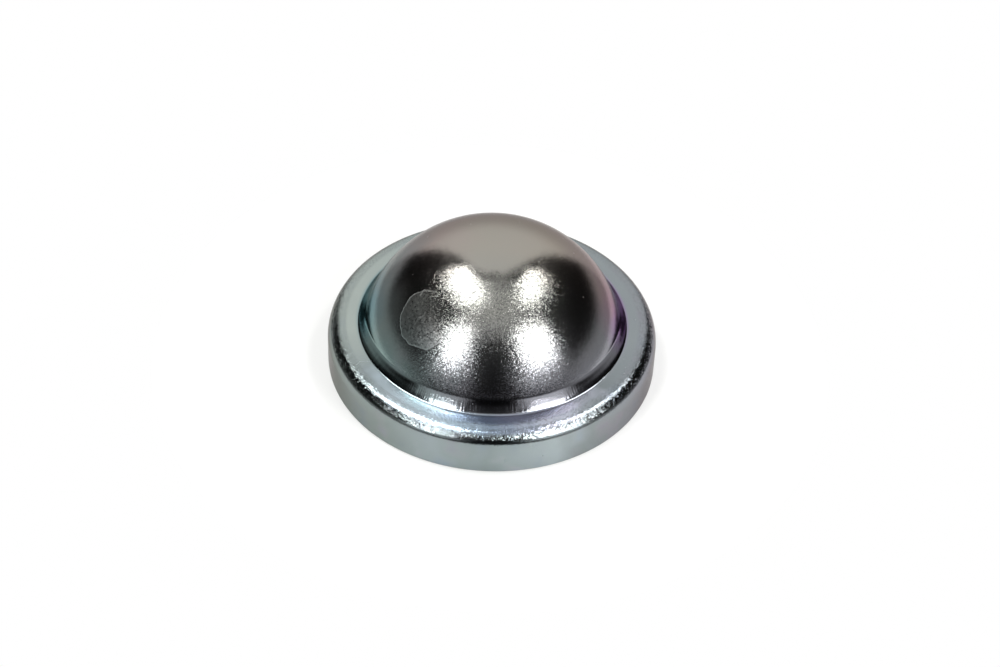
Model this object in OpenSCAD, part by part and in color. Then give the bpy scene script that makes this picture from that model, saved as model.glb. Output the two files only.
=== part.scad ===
// Hub grease cap: one deep-drawn steel sheet, from the crown of the dome to the open edge of the skirt.
// The open edge stands on the plane z = 0, and the cap is round about the z axis.
// All sizes are in millimetres and are those of the outside surface, which the press tool sets.

/* [Sheet] */
// Thickness of the steel sheet
sheet_t = 1.0; // [0.8:0.1:1.4]
// Rounding of the outside corner at the trimmed open edge
edge_r = 0.35; // [0.1:0.05:0.5]

/* [Rim] */
// Outside diameter of the skirt, which presses into the hub
skirt_d = 62; // [50:0.5:100]
// Height of the flat ring's upper face above the open edge
rim_h = 8.8; // [6:0.1:20]
// Outside radius of the shoulder between the skirt and the flat ring
shoulder_r = 3.4; // [2:0.1:4.5]
// Width of the flat ring, from the shoulder in to the foot of the dome
ring_w = 2.3; // [1.5:0.1:6]

/* [Dome] */
// Height of the dome's crown above the flat ring's upper face
dome_h = 18.8; // [14:0.1:24]
// Outside radius of the hollow flare at the foot of the dome
flare_r = 5.3; // [3:0.1:7]
// Angle at which the flare comes down onto the flat ring
flare_a = 39; // [25:1:50]
// Outside radius of the crease between the flare and the flat ring
crease_r = 0.5; // [0.2:0.05:1]

/* [Hidden] */
$fn = 180;

// Rounded surfaces that would only touch their neighbours cross them by this much, so that they
// always meet.
bite = 0.0005;

skirt_r = skirt_d / 2;
crown_h = rim_h + dome_h;

// Centres of the section's arcs are points in its plane: distance from the axis, height.
shoulder_c = [skirt_r - shoulder_r, rim_h - shoulder_r];

// The flare reaches the flat ring's face at its own angle, at the ring's inner edge.
flare_c = [shoulder_c.x - ring_w, rim_h] + flare_r * [sin(flare_a), cos(flare_a)];

// The crease's circle lies inside the flare's and rests on the flat ring.
crease_up = rim_h + crease_r - bite;
crease_c = [
    flare_c.x - sqrt(pow(flare_r - crease_r + bite, 2) - pow(flare_c.y - crease_up, 2)),
    crease_up
];

// The dome is the sphere that has its crown on the axis at crown_h and touches the flare: the
// distance between the two centres is the sum of the two radii.
flare_drop = crown_h - flare_c.y;
flare_reach = flare_r - bite;
dome_r = (pow(flare_c.x, 2) + pow(flare_drop, 2) - pow(flare_reach, 2)) / (2 * (flare_reach + flare_drop));
dome_c = [0, crown_h - dome_r];

// What lies under the dome's sphere.
module under_dome(depth) {
    intersection() {
        translate([0, 0, dome_c.y])
            sphere(dome_r - depth);
        cylinder(r = skirt_r, h = crown_h);
    }
}

// What lies under the hollow flare, from the axis out to the flat ring.
module under_flare(depth) {
    rotate_extrude() difference() {
        polygon([dome_c, flare_c, [flare_c.x, shoulder_c.y], [0, shoulder_c.y]]);
        translate(flare_c)
            circle(flare_r + depth);
    }
}

// The small fillet that fills the crease between the flare and the flat ring.
module under_crease(depth) {
    out = (crease_c - flare_c) / norm(crease_c - flare_c);
    reach = crease_r + depth + sheet_t;
    rotate_extrude() difference() {
        polygon([crease_c, crease_c + reach * out, crease_c - [0, reach]]);
        translate(crease_c)
            circle(crease_r + depth);
    }
}

// What lies under the flat ring and the shoulder and within the skirt.
module under_rim(depth) {
    cylinder(r = skirt_r - depth, h = shoulder_c.y);
    cylinder(r = shoulder_c.x, h = rim_h - depth);
    rotate_extrude()
        translate(shoulder_c)
            circle(shoulder_r - depth);
}

// The space inside the cap's outside surface after that surface has moved inwards by a depth.
// All its arcs keep their centres, so two such spaces lie the same distance apart everywhere.
module space_within(depth) {
    under_dome(depth);
    under_flare(depth);
    under_crease(depth);
    under_rim(depth);
}

// The sharp corner that is rounded off the trimmed edge.
module edge_corner() {
    rotate_extrude() difference() {
        translate([skirt_r - edge_r, -edge_r])
            square(2 * edge_r);
        translate([skirt_r - edge_r, edge_r])
            circle(edge_r);
    }
}

module grease_cap() {
    color([0.66, 0.69, 0.70])
        difference() {
            space_within(0);
            space_within(sheet_t);
            edge_corner();
        }
}

grease_cap();
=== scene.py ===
import math

import bpy
import numpy as np
from mathutils import Matrix, Vector


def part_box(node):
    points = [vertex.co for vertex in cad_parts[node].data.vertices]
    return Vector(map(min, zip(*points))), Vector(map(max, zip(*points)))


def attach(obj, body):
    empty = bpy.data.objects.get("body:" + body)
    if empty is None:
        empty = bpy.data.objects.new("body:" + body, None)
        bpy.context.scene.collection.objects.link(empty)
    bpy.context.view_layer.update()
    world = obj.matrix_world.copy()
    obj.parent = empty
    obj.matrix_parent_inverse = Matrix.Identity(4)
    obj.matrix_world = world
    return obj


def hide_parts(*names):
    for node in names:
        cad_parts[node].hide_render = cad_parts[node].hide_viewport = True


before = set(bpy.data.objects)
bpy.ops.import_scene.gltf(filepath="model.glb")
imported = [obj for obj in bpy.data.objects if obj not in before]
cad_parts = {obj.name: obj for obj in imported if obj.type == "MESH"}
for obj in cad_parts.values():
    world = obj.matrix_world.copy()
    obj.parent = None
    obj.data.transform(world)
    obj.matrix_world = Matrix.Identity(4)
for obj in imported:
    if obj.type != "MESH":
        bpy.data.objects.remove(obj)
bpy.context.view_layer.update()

# The pressed sheet
# One round blank of 1 mm low-carbon steel, deep-drawn in a press into a dome, a hollow flare, a flat
# ring, a rounded shoulder and an upright skirt, and then trimmed. The hub's bore grips the skirt.
# Sizes are in millimetres. The frame gives the skirt's radius and the crown's height, and the rest
# are the part's own.
MM = 0.001
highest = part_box("grease_cap")[1]
skirt_r = min(highest.x, highest.y) / MM
crown_h = highest.z / MM
sheet_t = 1.0
rim_h = 8.8
shoulder_r = 3.4
ring_w = 2.3
flare_r = 5.3
flare_angle = math.radians(39)
crease_r = 0.5
edge_r = 0.35
burr_r = 0.12
columns = 320

# Centres of the section's arcs are points in its plane: distance from the axis, height. The dome is the
# sphere that has its crown on the axis and touches the flare.
shoulder_c = np.array([skirt_r - shoulder_r, rim_h - shoulder_r])
flare_lean = np.array([math.sin(flare_angle), math.cos(flare_angle)])
flare_c = np.array([shoulder_c[0] - ring_w, rim_h]) + flare_r * flare_lean
crease_y = rim_h + crease_r
crease_reach = math.sqrt((flare_r - crease_r) ** 2 - (flare_c[1] - crease_y) ** 2)
crease_c = np.array([flare_c[0] - crease_reach, crease_y])
flare_drop = crown_h - flare_c[1]
dome_r = (flare_c[0] ** 2 + flare_drop ** 2 - flare_r ** 2) / (2 * (flare_r + flare_drop))
dome_c = np.array([0.0, crown_h - dome_r])
burr_c = np.array([skirt_r - sheet_t + burr_r, burr_r])


def heading(a, b):
    """The angle, from the axis outwards, of the direction from point a to point b of the section."""
    return math.atan2(b[0] - a[0], b[1] - a[1])


def arc(centre, radius, start, end, step, hollow=False, lead=0.0):
    """Points on a circle's arc, each the centre plus the radius times the sine and cosine of its angle.

    The outward normal is that same direction, or its opposite where the arc is hollow. The sheet bends
    a little more sharply than a circle at one end: its normal leads or lags by half a sine wave.
    """
    count = max(2, math.ceil(abs(end - start) * radius / step) + 1)
    angle = np.linspace(start, end, count)
    turned = angle + np.sign(end - start) * lead * np.sin(np.linspace(0, math.pi, count))
    out = np.stack([np.sin(turned), np.cos(turned)], 1)
    points = centre + radius * np.stack([np.sin(angle), np.cos(angle)], 1)
    return points, -out if hollow else out


def straight(start, end, step):
    """Points evenly along a line; the normal is the line's direction turned a quarter turn to its left."""
    start, end = np.asarray(start, float), np.asarray(end, float)
    count = max(2, math.ceil(np.linalg.norm(end - start) / step) + 1)
    along = (end - start) / np.linalg.norm(end - start)
    points = start + np.linspace(0, 1, count)[:, None] * (end - start)
    return points, np.tile([-along[1], along[0]], (count, 1))


quarter = math.pi / 2
dome_end = heading(dome_c, flare_c)
crease_start = heading(flare_c, crease_c) % (2 * math.pi)
flare_top = dome_end + math.pi
flare_middle = flare_top + 0.45 * (crease_start - flare_top)
nose_end, nose_edge = math.radians(14), math.radians(20)
shoulder_top, shoulder_low = math.radians(38), math.radians(55)
die_lead = math.radians(6)
inner_shoulder = shoulder_r - sheet_t

# The section runs from the crown down the outside to the open edge, round it, and up the inside.
# Each stretch has its points and normals, a step apart, and then its looks, in the order of the names.
look_names = ("orange_peel", "draw_marks", "plate_roughness", "dome_films", "ring_tints_and_reflections")
stretches = [
    # Outside: the dome, the flare and the crease
    (arc(dome_c, dome_r, 0, nose_end, 0.36), 0.2, 0.0, 0.15, 1.0, 0.0),
    (arc(dome_c, dome_r, nose_end, nose_edge, 0.36), 0.5, 0.0, 0.15, 1.0, 0.0),
    (arc(dome_c, dome_r, nose_edge, dome_end, 0.36), 1.0, 0.0, 0.18, 1.0, 0.0),
    (arc(flare_c, flare_r, flare_top, flare_middle, 0.12, hollow=True, lead=0.6 * die_lead),
     0.3, 0.3, 0.11, 1.0, 0.0),
    (arc(flare_c, flare_r, flare_middle, crease_start, 0.12, hollow=True, lead=-die_lead),
     0.15, 1.0, 0.17, 1.0, 0.0),
    (arc(crease_c, crease_r, crease_start, math.pi, 0.06, hollow=True), 0.1, 0.5, 0.13, 0.4, 0.6),
    # Outside: the flat ring, the shoulder and the skirt
    (straight((crease_c[0], rim_h), (shoulder_c[0], rim_h), 0.25), 0.5, 0.0, 0.14, 0.0, 1.0),
    (arc(shoulder_c, shoulder_r, 0, shoulder_top, 0.16, lead=-die_lead), 1.2, 0.0, 0.15, 0.0, 0.6),
    (arc(shoulder_c, shoulder_r, shoulder_top, shoulder_low, 0.16), 1.9, 0.0, 0.14, 0.0, 0.0),
    (arc(shoulder_c, shoulder_r, shoulder_low, quarter, 0.12, lead=die_lead), 0.5, 0.0, 0.15, 0.0, 0.0),
    (straight((skirt_r, shoulder_c[1]), (skirt_r, edge_r), 0.5), 0.3, 0.2, 0.20, 0.0, 0.0),
    # The trimmed edge, with its rounded outside corner and the burr's small radius inside
    (arc((skirt_r - edge_r, edge_r), edge_r, quarter, 2 * quarter, 0.07), 0.4, 0.0, 0.25, 0.0, 0.0),
    (straight((skirt_r - edge_r, 0), (burr_c[0], 0), 0.15), 0.8, 0.0, 0.38, 0.0, 0.0),
    (arc(burr_c, burr_r, 2 * quarter, 3 * quarter, 0.05), 0.8, 0.0, 0.38, 0.0, 0.0),
    # Inside: the same stretches the other way, a sheet's thickness in
    (straight((skirt_r - sheet_t, burr_r), (skirt_r - sheet_t, shoulder_c[1]), 0.6),
     0.6, 0.5, 0.26, 0.0, 0.0),
    (arc(shoulder_c, inner_shoulder, quarter, 0, 0.25, hollow=True), 0.6, 0.3, 0.26, 0.0, 0.0),
    (straight((shoulder_c[0], rim_h - sheet_t), (crease_c[0], rim_h - sheet_t), 0.6),
     0.6, 0.0, 0.26, 0.0, 0.0),
    (arc(crease_c, crease_r + sheet_t, math.pi, crease_start, 0.2), 0.6, 0.3, 0.26, 0.0, 0.0),
    (arc(flare_c, flare_r + sheet_t, crease_start, flare_top, 0.3), 0.6, 0.5, 0.26, 0.2, 0.0),
    (arc(dome_c, dome_r - sheet_t, dome_end, 0, 0.55, hollow=True), 0.8, 0.0, 0.26, 0.4, 0.0),
]


def joined(parts):
    """The stretches one after another, with the point that two of them share taken once."""
    points, normals, looks = [], [], []
    for (line, out), *amounts in parts:
        points.append(line[:-1])
        normals.append(out[:-1])
        looks.append(np.tile(amounts, (len(line) - 1, 1)))
    (line, out), *amounts = parts[-1]
    points.append(line[-1:])
    normals.append(out[-1:])
    looks.append([amounts])
    return np.concatenate(points), np.concatenate(normals), np.concatenate(looks)


def spread_along(values, distance, reach):
    """The values smoothed along the section: each is the mean of all, weighed by a bell curve."""
    gap = (distance[:, None] - distance[None, :]) / reach
    share = np.exp(-gap * gap) * np.gradient(distance)[None, :]
    return (share * values).sum(1) / share.sum(1)


look_blend = 0.35
section, section_normals, looks = joined(stretches)
travel = np.concatenate([[0], np.cumsum(np.linalg.norm(np.diff(section, axis=0), axis=1))])
looks = np.stack([spread_along(look, travel, look_blend) for look in looks.T])


def revolve(profile, normals, count):
    """A profile turned about the z axis: x and y are its radius times each column's cosine and sine.

    The first and the last point lie on the axis and are one vertex each, so the poles are closed.
    """
    angle = np.linspace(0, 2 * math.pi, count, endpoint=False)
    turn = np.stack([np.cos(angle), np.sin(angle)], 1)
    ring, ring_n = profile[1:-1], normals[1:-1]
    rows = len(ring)
    body = np.concatenate([ring[:, None, :1] * turn, np.repeat(ring[:, None, 1:], count, 1)], 2)
    body_n = np.concatenate([ring_n[:, None, :1] * turn, np.repeat(ring_n[:, None, 1:], count, 1)], 2)
    top, bottom = profile[0, 1], profile[-1, 1]
    verts = np.concatenate([[[0, 0, top]], body.reshape(-1, 3), [[0, 0, bottom]]])
    vert_n = np.concatenate([[[0, 0, 1.0]], body_n.reshape(-1, 3), [[0, 0, -1.0]]])
    here = 1 + np.arange(rows * count).reshape(rows, count)
    beside = np.roll(here, -1, 1)
    quads = np.stack([here[:-1], here[1:], beside[1:], beside[:-1]], -1).reshape(-1, 4)
    last = rows * count + 1
    crown = np.stack([np.zeros(count, int), here[0], beside[0]], -1)
    foot = np.stack([beside[-1], here[-1], np.full(count, last)], -1)
    return verts, vert_n, quads, np.concatenate([crown, foot])


verts, vert_normals, quads, fans = revolve(section, section_normals, columns)
shell_mesh = bpy.data.meshes.new("cap_shell")
shell_mesh.from_pydata((verts * MM).tolist(), [], quads.tolist() + fans.tolist())
shell_mesh.polygons.foreach_set("use_smooth", np.ones(len(shell_mesh.polygons), bool))
shell_mesh.normals_split_custom_set_from_vertices(vert_normals.tolist())

# Every vertex has the looks of its row in the section, as attributes that the material reads.
for name, look in zip(look_names, looks):
    values = np.concatenate([look[:1], np.repeat(look[1:-1], columns), look[-1:]])
    attribute = shell_mesh.attributes.new(name, "FLOAT", "POINT")
    attribute.data.foreach_set("value", values.astype(np.float32))
cap_shell = bpy.data.objects.new("cap_shell", shell_mesh)
bpy.context.scene.collection.objects.link(cap_shell)

# The zinc plate
# Bright zinc, a few micrometres thick and plated all over after the pressing, with a clear to blue
# passivate film. It keeps the orange peel that drawing gave the steel, and is smoothest in the flare.


def linear(code):
    """The linear colour of an sRGB hex code: each channel with its offset, to the power 2.4."""
    values = [int(code[i:i + 2], 16) / 255 for i in (1, 3, 5)]
    return [v / 12.92 if v <= 0.04045 else ((v + 0.055) / 1.055) ** 2.4 for v in values] + [1.0]


def add(tree, kind, inputs=None, stops=(), **settings):
    """Adds one node with its settings.

    Each input is a value or another node's output. A colour ramp also has stops, each a position and
    an sRGB code. What isn't given keeps its default: a Map Range then goes from 0 to 1.
    """
    node = tree.nodes.new("ShaderNode" + kind)
    for name, value in settings.items():
        setattr(node, name, value)
    for name, value in (inputs or {}).items():
        socket = node.inputs[name]
        if isinstance(value, bpy.types.NodeSocket):
            tree.links.new(value, socket)
        else:
            socket.default_value = value
    if stops:
        elements = node.color_ramp.elements
        while len(elements) < len(stops):
            elements.new(0.5)
        for element, (position, code) in zip(elements, stops):
            element.position = position
            element.color = linear(code)
    return node


zinc = bpy.data.materials.new("bright_zinc_plate")
zinc.use_nodes = True
tree = zinc.node_tree
tree.nodes.clear()

place = add(tree, "TexCoord").outputs["Object"]
xyz = add(tree, "SeparateXYZ", {0: place})
orange_peel, draw_marks, plate_roughness, dome_films, ring_tints_and_reflections = (
    add(tree, "Attribute", attribute_name=name).outputs["Fac"] for name in look_names)


def on_dome(azimuth, polar):
    """A point of the dome's outside, by its angles from the front to the right and from the crown."""
    a, p = math.radians(azimuth), math.radians(polar)
    out = Vector((math.sin(a) * math.sin(p), -math.cos(a) * math.sin(p), math.cos(p)))
    return out * dome_r * MM + Vector((0, 0, dome_c[1] * MM))


def on_ring(azimuth, radius):
    """A point of the flat ring, by its angle from the front to the right and its radius in mm."""
    a = math.radians(azimuth)
    return Vector((math.sin(a) * radius, -math.cos(a) * radius, rim_h)) * MM


# A dried drop left a round mark on the dome's outside: a thin rim of residue round a mottled, duller
# patch. Its outline wobbles, and the mark fades out towards the dome's middle.
drop = on_dome(-44.5, 45)
drop_r = 5.3
rim_w = 0.12
patch_edge = 0.3
wobble_length, wobble_size = 3.6, 1.9
mottle_mm = 0.42
fade_way = (1.0, 0.35, 0.0)
fade_start, fade_end = -17.0, -12.5
stir = add(tree, "TexNoise", {"Vector": place, "Scale": 1 / (wobble_length * MM), "Detail": 2.0})
stir = add(tree, "Math", {0: stir.outputs["Fac"], 1: 0.5}, operation="SUBTRACT")
reach = add(tree, "VectorMath", {0: place, 1: drop}, operation="DISTANCE")
reach = add(tree, "Math", {0: stir.outputs[0], 1: wobble_size * MM, 2: reach.outputs["Value"]},
            operation="MULTIPLY_ADD")
from_rim = add(tree, "Math", {0: reach.outputs[0], 1: drop_r * MM}, operation="SUBTRACT")
off_rim = add(tree, "Math", {0: from_rim.outputs[0]}, operation="ABSOLUTE")
rim = add(tree, "MapRange", {
    "Value": off_rim.outputs[0], "From Min": 0.3 * rim_w * MM, "From Max": 1.3 * rim_w * MM,
    "To Min": 1.0, "To Max": 0.0})
patch = add(tree, "MapRange", {
    "Value": from_rim.outputs[0], "From Min": 0.0, "From Max": -patch_edge * MM})
across = add(tree, "VectorMath", {0: place, 1: fade_way}, operation="DOT_PRODUCT")
fade = add(tree, "MapRange", {
    "Value": across.outputs["Value"], "From Min": fade_start * MM, "From Max": fade_end * MM,
    "To Min": 1.0, "To Max": 0.0})
mottle = add(tree, "TexNoise", {
    "Vector": place, "Scale": 1 / (mottle_mm * MM), "Detail": 3.0, "Roughness": 0.7})
mottle = add(tree, "MapRange", {
    "Value": mottle.outputs["Fac"], "From Min": 0.36, "From Max": 0.66, "To Min": 0.35, "To Max": 1.0})
patch = add(tree, "Math", {0: patch.outputs[0], 1: mottle.outputs[0]}, operation="MULTIPLY")
outside = add(tree, "MapRange", {"Value": dome_films, "From Min": 0.6, "From Max": 0.9})
fade = add(tree, "Math", {0: fade.outputs[0], 1: outside.outputs[0]}, operation="MULTIPLY")
patch = add(tree, "Math", {0: patch.outputs[0], 1: fade.outputs[0]}, operation="MULTIPLY")
rim = add(tree, "Math", {0: rim.outputs[0], 1: fade.outputs[0]}, operation="MULTIPLY")

# Handling left short scratches, each from one point to another and some 0.1 mm wide, and dull specks
# about 0.25 mm across. Specks fall in cells of 2.1 mm, and two cells in five have one.
scratches = [
    (on_dome(-57, 39), on_dome(-58, 36), 0.11),
    (on_dome(-21, 27), on_dome(-17, 25), 0.09),
    (on_dome(-19, 26.5), on_dome(-18, 25.8), 0.13),
    (on_ring(-62, 27.2), on_ring(-60.5, 25.7), 0.12),
    (on_ring(-62, 27.2), on_ring(-61, 28.2), 0.10),
]
dull = rim.outputs[0]
for start, end, width in scratches:
    run = end - start
    gone = add(tree, "VectorMath", {0: place, 1: start}, operation="SUBTRACT")
    share = add(tree, "VectorMath", {0: gone.outputs[0], 1: run / run.length_squared},
                operation="DOT_PRODUCT")
    share = add(tree, "Math", {0: share.outputs["Value"], 1: 1.0}, operation="MULTIPLY", use_clamp=True)
    nearest = add(tree, "VectorMath", {0: run, "Scale": share.outputs[0]}, operation="SCALE")
    aside = add(tree, "VectorMath", {0: gone.outputs[0], 1: nearest.outputs[0]}, operation="DISTANCE")
    line = add(tree, "MapRange", {
        "Value": aside.outputs["Value"], "From Min": 0.4 * width * MM, "From Max": 1.1 * width * MM,
        "To Min": 1.0, "To Max": 0.0})
    dull = add(tree, "Math", {0: dull, 1: line.outputs[0]}, operation="MAXIMUM").outputs[0]
speck_gap = 2.1
specks = add(tree, "TexVoronoi", {"Vector": place, "Scale": 1 / (speck_gap * MM)})
speck = add(tree, "MapRange", {
    "Value": specks.outputs["Distance"], "From Min": 0.04, "From Max": 0.075,
    "To Min": 0.8, "To Max": 0.0})
chance = add(tree, "SeparateXYZ", {0: specks.outputs["Color"]})
chosen = add(tree, "Math", {0: chance.outputs["X"], 1: 0.6}, operation="GREATER_THAN")
speck = add(tree, "Math", {0: speck.outputs[0], 1: chosen.outputs[0]}, operation="MULTIPLY")
dull = add(tree, "Math", {0: dull, 1: speck.outputs[0]}, operation="MAXIMUM").outputs[0]

# How much orange peel is kept: less in the drop's mark, and much less on the dome's flanks and back,
# which rubbed along the die.
mark_loss, flank_loss, back_loss = -0.15, -0.75, -0.65
flank_start, flank_end = 13, 18.5
back_start, back_end = -6, -1
kept = add(tree, "Math", {0: patch.outputs[0], 1: mark_loss, 2: 1.0}, operation="MULTIPLY_ADD")
kept = add(tree, "Math", {0: kept.outputs[0], 1: orange_peel}, operation="MULTIPLY")
to_side = add(tree, "Math", {0: xyz.outputs["X"]}, operation="ABSOLUTE")
rubbed_sides = add(tree, "MapRange", {
    "Value": to_side.outputs[0], "From Min": flank_start * MM, "From Max": flank_end * MM,
    "To Min": 0.0, "To Max": flank_loss})
rubbed_back = add(tree, "MapRange", {
    "Value": xyz.outputs["Y"], "From Min": back_start * MM, "From Max": back_end * MM,
    "To Min": 0.0, "To Max": back_loss})
rubbed = add(tree, "Math", {0: rubbed_sides.outputs[0], 1: rubbed_back.outputs[0]}, operation="MINIMUM")
rubbed = add(tree, "Math", {0: rubbed.outputs[0], 1: dome_films, 2: 1.0}, operation="MULTIPLY_ADD")
kept = add(tree, "Math", {0: kept.outputs[0], 1: rubbed.outputs[0]}, operation="MULTIPLY")
bent = add(tree, "MapRange", {"Value": orange_peel, "From Min": 1.0, "From Max": 1.6})

# Orange peel: the stretched sheet's grains lean a few degrees out of line with each other, each a small
# flat mirror that shows as a bright or a dark point, and a few lean more than the rest. Real grains are
# about 0.04 mm across. They are drawn two to three times as coarse, to show, with a size coarser still
# where the shoulder is bent most. Each has its size in mm, how far it leans, and how much of it there is.
facet = add(tree, "NewGeometry").outputs["Normal"]
for grain_mm, grain_tilt, amount in [(0.25, 0.24, bent), (0.085, 0.145, kept), (0.12, 0.115, kept)]:
    grains = add(tree, "TexVoronoi", {"Vector": place, "Scale": 1 / (grain_mm * MM)})
    lean = add(tree, "VectorMath", {0: grains.outputs["Color"], 1: (0.5, 0.5, 0.5)}, operation="SUBTRACT")
    chance = add(tree, "SeparateXYZ", {0: grains.outputs["Color"]})
    bold = add(tree, "Math", {0: chance.outputs["Z"], 1: 5.0}, operation="POWER")
    bold = add(tree, "Math", {0: bold.outputs[0], 1: 0.7 * grain_tilt, 2: 0.9 * grain_tilt},
               operation="MULTIPLY_ADD")
    tilt = add(tree, "Math", {0: amount.outputs[0], 1: bold.outputs[0]}, operation="MULTIPLY")
    tilted = add(tree, "VectorMath", {0: lean.outputs[0], "Scale": tilt.outputs[0]}, operation="SCALE")
    facet = add(tree, "VectorMath", {0: facet, 1: tilted.outputs[0]}, operation="ADD").outputs[0]

# Some of the 0.12 mm grains are dull pits, wherever the peel is strong, but not on the flat ring, which
# the press tool struck smooth.
pit = add(tree, "MapRange", {
    "Value": chance.outputs["X"], "From Min": 0.15, "From Max": 0.5, "To Min": 0.5, "To Max": 0.0})
pitted = add(tree, "MapRange", {"Value": kept.outputs[0], "From Min": 0.45, "From Max": 1.0})
pit = add(tree, "Math", {0: pit.outputs[0], 1: pitted.outputs[0]}, operation="MULTIPLY")
off_ring = add(tree, "Math", {0: 1.0, 1: ring_tints_and_reflections}, operation="SUBTRACT")
pit = add(tree, "Math", {0: pit.outputs[0], 1: off_ring.outputs[0]}, operation="MULTIPLY")

# Draw marks: in the flare the punch and the die dragged fine streaks that run up and down the sheet.
streak_mm = 0.22
streak_tilt = 0.30
streak_length = 16
flat_place = add(tree, "VectorMath", {0: place, 1: (1, 1, 0)}, operation="MULTIPLY")
outward = add(tree, "VectorMath", {0: flat_place.outputs[0]}, operation="NORMALIZE")
around = add(tree, "VectorMath", {0: (0, 0, 1), 1: outward.outputs[0]}, operation="CROSS_PRODUCT")
on_drum = add(tree, "VectorMath", {0: outward.outputs[0], "Scale": flare_c[0] * MM}, operation="SCALE")
upward = add(tree, "VectorMath", {0: place, 1: (0, 0, 1 / streak_length)}, operation="MULTIPLY")
streak_place = add(tree, "VectorMath", {0: on_drum.outputs[0], 1: upward.outputs[0]}, operation="ADD")
streaks = add(tree, "TexNoise", {
    "Vector": streak_place.outputs[0], "Scale": 1 / (streak_mm * MM), "Detail": 2.0, "Roughness": 0.6})
sway = add(tree, "Math", {0: streaks.outputs["Fac"], 1: 0.5}, operation="SUBTRACT")
sway = add(tree, "Math", {0: sway.outputs[0], 1: streak_tilt}, operation="MULTIPLY")
sway = add(tree, "Math", {0: sway.outputs[0], 1: draw_marks}, operation="MULTIPLY")
swayed = add(tree, "VectorMath", {0: around.outputs[0], "Scale": sway.outputs[0]}, operation="SCALE")
facet = add(tree, "VectorMath", {0: facet, 1: swayed.outputs[0]}, operation="ADD")
facet = add(tree, "VectorMath", {0: facet.outputs[0]}, operation="NORMALIZE")

# The passivate film's thickness drifts round the cap, and with it the plate's tint: green-grey on the
# left, pale blue in front and mauve on the right, in patches of about 7 mm. Its borders wander. The two
# lighter pale-blue bands, at the front left and the front right of the skirt and shoulder, are painted
# highlights laid over that tint.
film_patch_mm = 7
film_wander = 14
patches_share = 0.35
drift = add(tree, "TexNoise", {
    "Vector": place, "Scale": 1 / (film_patch_mm * MM), "Detail": 2.0, "Roughness": 0.55})
wander = add(tree, "Math", {
    0: drift.outputs["Fac"], 1: film_wander * MM, 2: -film_wander / 2 * MM}, operation="MULTIPLY_ADD")
sideways = add(tree, "Math", {0: xyz.outputs["X"], 1: wander.outputs[0]}, operation="ADD")
to_right = add(tree, "MapRange", {
    "Value": sideways.outputs[0], "From Min": -skirt_r * MM, "From Max": skirt_r * MM})
# The stops at 0.32 and 0.69 are painted highlights: lighter bands at the front left and the front right.
film_and_reflections = add(tree, "ValToRGB", {0: to_right.outputs[0]}, stops=[
    (0.0, "#97A19E"), (0.2, "#95A0A1"), (0.32, "#AAB6BC"), (0.5, "#97A3A8"), (0.69, "#C2CDD4"),
    (0.8, "#9DA4AA"), (1.0, "#A19BAC")])
film_patches = add(tree, "ValToRGB", {0: drift.outputs["Fac"]}, stops=[
    (0.32, "#8F9FAC"), (0.42, "#A0AAA9"), (0.52, "#9BA8A1"), (0.60, "#A8ABAA"), (0.70, "#A39DAC")])
film_and_reflections = add(tree, "Mix", {
    0: patches_share, 6: film_and_reflections.outputs[0], 7: film_patches.outputs[0]}, data_type="RGBA")

# The flat ring is paler, and its front is light blue and lilac. That tint is the plate's own, but the
# near-white patches in it at the front left and the front right are painted reflections of the dome's lit
# front, which the ring's front mirrors.
ring_front_start, ring_front_end = -4, -16
to_front = add(tree, "MapRange", {
    "Value": xyz.outputs["Y"], "From Min": ring_front_start * MM, "From Max": ring_front_end * MM})
ring_sides = add(tree, "ValToRGB", {0: to_right.outputs[0]}, stops=[
    (0.0, "#B9C3BD"), (0.4, "#A6B0AF"), (1.0, "#989FA3")])
# The stops at 0.30, 0.40 and 0.70 are near-white painted reflections; the other stops are the ring's tint.
ring_front_reflections = add(tree, "ValToRGB", {0: to_right.outputs[0]}, stops=[
    (0.0, "#A9B3B0"), (0.15, "#9CA8AB"), (0.30, "#D6E8F4"), (0.40, "#CDE6FA"), (0.50, "#98AAC4"),
    (0.57, "#AAB6D2"), (0.70, "#DCDEF0"), (0.82, "#8D9598"), (1.0, "#959DA2")])
ring_film_and_reflections = add(tree, "Mix", {
    0: to_front.outputs[0], 6: ring_sides.outputs[0], 7: ring_front_reflections.outputs[0]}, data_type="RGBA")
# The ring's colours, painted reflections included, go over the plate's colour by the ring's share.
film_and_reflections = add(tree, "Mix", {0: ring_tints_and_reflections, 6: film_and_reflections.outputs[2], 7: ring_film_and_reflections.outputs[2]}, data_type="RGBA")

# The dome is neutral in front and warm behind. Down its sides the film runs to teal on the left and to
# violet on the right, and at the very back it is nearly neutral again.
film_back_start, film_back_end = -9, -1
right_half_start, right_half_end = -8, 8
far_left_start, far_left_end = -5, -19
far_back_start, far_back_end, far_back_share = 10, 19, 0.75
drifted = add(tree, "Math", {0: wander.outputs[0], 1: 0.25, 2: xyz.outputs["Z"]},
              operation="MULTIPLY_ADD")
downwards = add(tree, "MapRange", {
    "Value": drifted.outputs[0], "From Min": crown_h * MM, "From Max": rim_h * MM})
to_back = add(tree, "MapRange", {
    "Value": xyz.outputs["Y"], "From Min": film_back_start * MM, "From Max": film_back_end * MM})
right_half = add(tree, "MapRange", {
    "Value": sideways.outputs[0], "From Min": right_half_start * MM, "From Max": right_half_end * MM})
far_left = add(tree, "MapRange", {
    "Value": sideways.outputs[0], "From Min": far_left_start * MM, "From Max": far_left_end * MM})
far_back = add(tree, "MapRange", {
    "Value": xyz.outputs["Y"], "From Min": far_back_start * MM, "From Max": far_back_end * MM,
    "To Min": 0.0, "To Max": far_back_share})
front_film = add(tree, "ValToRGB", {0: downwards.outputs[0]}, stops=[
    (0.2, "#A7A7A1"), (0.55, "#A5A6A8"), (0.85, "#A5A6AE")])
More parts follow.
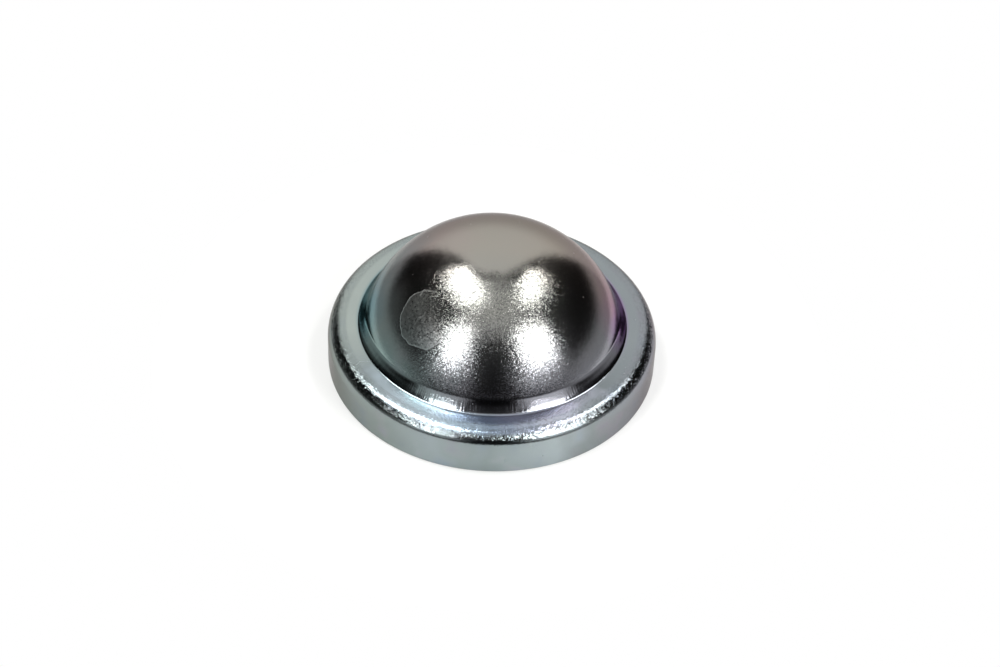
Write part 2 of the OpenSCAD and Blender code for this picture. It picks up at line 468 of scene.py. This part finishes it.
left_front = add(tree, "ValToRGB", {0: downwards.outputs[0]}, stops=[
    (0.2, "#A7A7A1"), (0.55, "#9CA6A4"), (0.85, "#90A7A5")])
front_film = add(tree, "Mix", {
    0: far_left.outputs[0], 6: front_film.outputs[0], 7: left_front.outputs[0]}, data_type="RGBA")
left_back = add(tree, "ValToRGB", {0: downwards.outputs[0]}, stops=[
    (0.0, "#ADA9A0"), (0.17, "#B2A7A2"), (0.39, "#A9ABAC"), (0.53, "#A0ADAE"), (0.69, "#7EA2AB"),
    (0.84, "#5C9CA8")])
right_back = add(tree, "ValToRGB", {0: downwards.outputs[0]}, stops=[
    (0.0, "#ADA9A0"), (0.17, "#B0A89E"), (0.39, "#B6A8A6"), (0.53, "#BBA5A9"), (0.69, "#B898AC"),
    (0.84, "#A070B8")])
back_film = add(tree, "Mix", {
    0: right_half.outputs[0], 6: left_back.outputs[0], 7: right_back.outputs[0]}, data_type="RGBA")
back_film = add(tree, "Mix", {
    0: far_back.outputs[0], 6: back_film.outputs[2], 7: linear("#A3A4A8")}, data_type="RGBA")
dome_film = add(tree, "Mix", {
    0: to_back.outputs[0], 6: front_film.outputs[2], 7: back_film.outputs[2]}, data_type="RGBA")
film_and_reflections = add(tree, "Mix", {0: dome_films, 6: film_and_reflections.outputs[2], 7: dome_film.outputs[2]}, data_type="RGBA")
film_and_reflections = add(tree, "Mix", {0: pit.outputs[0], 6: film_and_reflections.outputs[2], 7: linear("#26282A")}, data_type="RGBA")

# The drop's mark, the scratches and the specks are rougher than the plate round them.
rough = add(tree, "Math", {0: dull, 1: 0.50, 2: plate_roughness}, operation="MULTIPLY_ADD")
rough = add(tree, "Math", {0: patch.outputs[0], 1: 0.25, 2: rough.outputs[0]}, operation="MULTIPLY_ADD")
shader = add(tree, "BsdfPrincipled", {
    "Base Color": film_and_reflections.outputs[2], "Metallic": 1.0, "Roughness": rough.outputs[0],
    "Specular Tint": linear("#D2CDCB"), "Normal": facet.outputs[0]})
add(tree, "OutputMaterial", {"Surface": shader.outputs["BSDF"]})
shell_mesh.materials.append(zinc)

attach(cap_shell, "root")
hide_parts("grease_cap")

# The floor
# A pale round table top that the cap stands on, wide enough for its reflection in the skirt. It gives a
# little light of its own, more to the eye than to the metal, so that it stays nearly white.
floor_r = 64 * MM
floor_drop = 0.02 * MM
glow_to_eye, glow_to_metal = 0.46, 0.22
floor_angle = np.linspace(0, 2 * math.pi, 96, endpoint=False)
floor_mesh = bpy.data.meshes.new("floor")
floor_verts = [(floor_r * math.cos(a), floor_r * math.sin(a), -floor_drop) for a in floor_angle]
floor_mesh.from_pydata(floor_verts, [], [list(range(len(floor_verts)))])
floor = bpy.data.objects.new("floor", floor_mesh)
bpy.context.scene.collection.objects.link(floor)

table = bpy.data.materials.new("pale_table")
table.use_nodes = True
tree = table.node_tree
tree.nodes.clear()
path = add(tree, "LightPath")
mirrored = add(tree, "Math", {
    0: path.outputs["Is Glossy Ray"], 1: path.outputs["Is Transmission Ray"]}, operation="MAXIMUM")
mirrored = add(tree, "Math", {0: mirrored.outputs[0], 1: glow_to_metal}, operation="MULTIPLY")
glow = add(tree, "Math", {
    0: path.outputs["Is Camera Ray"], 1: glow_to_eye, 2: mirrored.outputs[0]}, operation="MULTIPLY_ADD")
matt = add(tree, "BsdfDiffuse", {"Color": linear("#BCBCBA")})
lift = add(tree, "Emission", {"Color": (1, 1, 1, 1), "Strength": glow.outputs[0]})
both = add(tree, "AddShader", {0: matt.outputs[0], 1: lift.outputs[0]})
add(tree, "OutputMaterial", {"Surface": both.outputs[0]})
floor_mesh.materials.append(table)

# The lamps
# Four soft boxes round and above the cap: two in front at half height and two nearly overhead. Each has
# its direction, its width, height and roll, all in degrees as seen from the cap, and its radiance.
lamp_distance = 0.7
lamps = [
    ("soft_box_back_left", -107, 67, 34, 14, 42, 9.0),
    ("soft_box_back_right", 109, 59, 29, 10, -25, 9.0),
    ("soft_box_front_left", -37, 36, 14, 30, 8, 9.0),
    ("soft_box_front_right", 48, 34, 22, 28, 0, 9.0),
]
cap_centre = Vector((0, 0, crown_h * MM / 2))


def towards(azimuth, elevation):
    """The direction at an azimuth, from the front round to the right, and an elevation, in degrees."""
    a, e = math.radians(azimuth), math.radians(elevation)
    return Vector((math.sin(a) * math.cos(e), -math.cos(a) * math.cos(e), math.sin(e)))


for name, azimuth, elevation, wide, high, roll, radiance in lamps:
    width = 2 * lamp_distance * math.tan(math.radians(wide) / 2)
    height = 2 * lamp_distance * math.tan(math.radians(high) / 2)
    lamp = bpy.data.lights.new(name, "AREA")
    lamp.shape = "RECTANGLE"
    lamp.size = width
    lamp.size_y = height
    lamp.energy = radiance * math.pi * width * height
    box = bpy.data.objects.new(name, lamp)
    way = towards(azimuth, elevation)
    facing = (-way).to_track_quat("-Z", "Y").to_matrix().to_4x4()
    turn = facing @ Matrix.Rotation(math.radians(roll), 4, "Z")
    box.matrix_world = Matrix.Translation(cap_centre + way * lamp_distance) @ turn
    bpy.context.scene.collection.objects.link(box)

# The room
# White behind the cap for the eye; a dark room round it for the metal, with a pale backdrop behind.
world = bpy.data.worlds.new("room")
bpy.context.scene.world = world
world.use_nodes = True
tree = world.node_tree
tree.nodes.clear()
way = add(tree, "TexCoord").outputs["Generated"]
parts = add(tree, "SeparateXYZ", {0: way})
sideways, back, up = (parts.outputs[i] for i in range(3))

# The backdrop fills a wedge behind the cap: how far a direction leans to the side, beside how far it
# points back. It is a little darker low down.
lean = add(tree, "Math", {0: sideways}, operation="ABSOLUTE")
wedge = add(tree, "Math", {0: back, 1: 0.67}, operation="MULTIPLY")
beyond = add(tree, "Math", {0: wedge.outputs[0], 1: lean.outputs[0]}, operation="SUBTRACT")
backdrop = add(tree, "MapRange", {
    "Value": beyond.outputs[0], "From Min": -0.03, "From Max": 0.06, "To Min": 0.0, "To Max": 0.85},
    interpolation_type="SMOOTHSTEP")
lower_part = add(tree, "MapRange", {
    "Value": up, "From Min": -0.06, "From Max": 0.36, "To Min": 0.72, "To Max": 1.0},
    interpolation_type="SMOOTHSTEP")
top_edge = add(tree, "MapRange", {
    "Value": up, "From Min": 0.952, "From Max": 0.965, "To Min": 1.0, "To Max": 0.0},
    interpolation_type="SMOOTHSTEP")
backdrop = add(tree, "Math", {0: backdrop.outputs[0], 1: lower_part.outputs[0]}, operation="MULTIPLY")
backdrop = add(tree, "Math", {0: backdrop.outputs[0], 1: top_edge.outputs[0]}, operation="MULTIPLY")

# The ground beyond the table is grey at the sides and dark in front, where it reaches a little higher.
side_grey = add(tree, "MapRange", {
    "Value": back, "From Min": -0.97, "From Max": -0.1, "To Min": 0.01, "To Max": 0.36},
    interpolation_type="SMOOTHSTEP")
skirting = add(tree, "MapRange", {
    "Value": back, "From Min": 0.5, "From Max": -0.3, "To Min": 0.0, "To Max": -0.10})
over_skirting = add(tree, "Math", {0: up, 1: skirting.outputs[0]}, operation="ADD")
below = add(tree, "MapRange", {
    "Value": over_skirting.outputs[0], "From Min": 0.09, "From Max": -0.12},
    interpolation_type="SMOOTHSTEP")
ground = add(tree, "Math", {0: side_grey.outputs[0], 1: below.outputs[0]}, operation="MULTIPLY")
room = add(tree, "Math", {0: backdrop.outputs[0], 1: ground.outputs[0]}, operation="MAXIMUM")

# A dim wall stands at the back on the left.
left_wall = add(tree, "MapRange", {
    "Value": sideways, "From Min": -0.76, "From Max": -0.88, "To Min": 0.0, "To Max": 0.08},
    interpolation_type="SMOOTHSTEP")
wall_top = add(tree, "MapRange", {
    "Value": up, "From Min": 0.12, "From Max": 0.42, "To Min": 1.0, "To Max": 0.0},
    interpolation_type="SMOOTHSTEP")
wall_end = add(tree, "MapRange", {
    "Value": back, "From Min": -0.05, "From Max": 0.20}, interpolation_type="SMOOTHSTEP")
left_wall = add(tree, "Math", {0: left_wall.outputs[0], 1: wall_top.outputs[0]}, operation="MULTIPLY")
left_wall = add(tree, "Math", {0: left_wall.outputs[0], 1: wall_end.outputs[0]}, operation="MULTIPLY")
room = add(tree, "Math", {0: room.outputs[0], 1: left_wall.outputs[0]}, operation="MAXIMUM")

# Pale cards that catch the lamps' light: one overhead and one below each front lamp, where the horizon
# cuts them off. Each has its direction, an inner angle within which it is brightest, an outer angle by
# which it has faded, and its brightness.
unlit = 0.003
cards = [(5, 75.5, 22, 27, 0.68), (-37, 10, 4, 26, 0.62), (45, 10, 4, 27, 0.90)]
card_foot = add(tree, "MapRange", {
    "Value": up, "From Min": -0.08, "From Max": 0.11}, interpolation_type="SMOOTHSTEP")
for azimuth, elevation, inner, outer, brightness in cards:
    facing = add(tree, "VectorMath", {0: way, 1: towards(azimuth, elevation)}, operation="DOT_PRODUCT")
    card = add(tree, "MapRange", {
        "Value": facing.outputs["Value"], "From Min": math.cos(math.radians(outer)),
        "From Max": math.cos(math.radians(inner)), "To Min": unlit, "To Max": brightness},
        interpolation_type="SMOOTHSTEP")
    card = add(tree, "Math", {0: card.outputs[0], 1: card_foot.outputs[0]}, operation="MULTIPLY")
    room = add(tree, "Math", {0: room.outputs[0], 1: card.outputs[0]}, operation="MAXIMUM")
dark = add(tree, "Background", {"Color": (1, 1, 1, 1), "Strength": room.outputs[0]})
white = add(tree, "Background", {"Color": (1, 1, 1, 1), "Strength": 1.0})
path = add(tree, "LightPath")
choice = add(tree, "MixShader", {
    0: path.outputs["Is Camera Ray"], 1: dark.outputs[0], 2: white.outputs[0]})
add(tree, "OutputWorld", {"Surface": choice.outputs[0]})

# The camera
# It looks down at the cap from in front, a little rolled, as the photograph was taken. The centre of
# the flat ring's face lies at the photograph's own pixel.
view_down = math.radians(42.86)
view_roll = math.radians(2.53)
view_distance = 434.97 * MM
ring_centre_px = (492.6, 320.45)
picture_w, picture_h = 1000, 667
camera_data = bpy.data.cameras.new("camera")
camera_data.lens = 83.2
camera_data.sensor_width = 36.0
focal_px = camera_data.lens / camera_data.sensor_width * picture_w
off_x = (ring_centre_px[0] - picture_w / 2) / focal_px
off_y = (ring_centre_px[1] - picture_h / 2) / focal_px
ahead = Vector((0, math.cos(view_down), -math.sin(view_down)))
level = Vector((1, 0, 0))
upright = Vector((0, math.sin(view_down), math.cos(view_down)))
right = math.cos(view_roll) * level + math.sin(view_roll) * upright
top = -math.sin(view_roll) * level + math.cos(view_roll) * upright
aim = (ahead + right * off_x - top * off_y).normalized()
camera = bpy.data.objects.new("camera", camera_data)
axes = Matrix((right, top, -ahead)).transposed().to_4x4()
camera.matrix_world = Matrix.Translation(Vector((0, 0, rim_h * MM)) - aim * view_distance) @ axes
bpy.context.scene.collection.objects.link(camera)
bpy.context.scene.camera = camera
bpy.context.scene.view_settings.view_transform = "Standard"

bpy.context.view_layer.update()
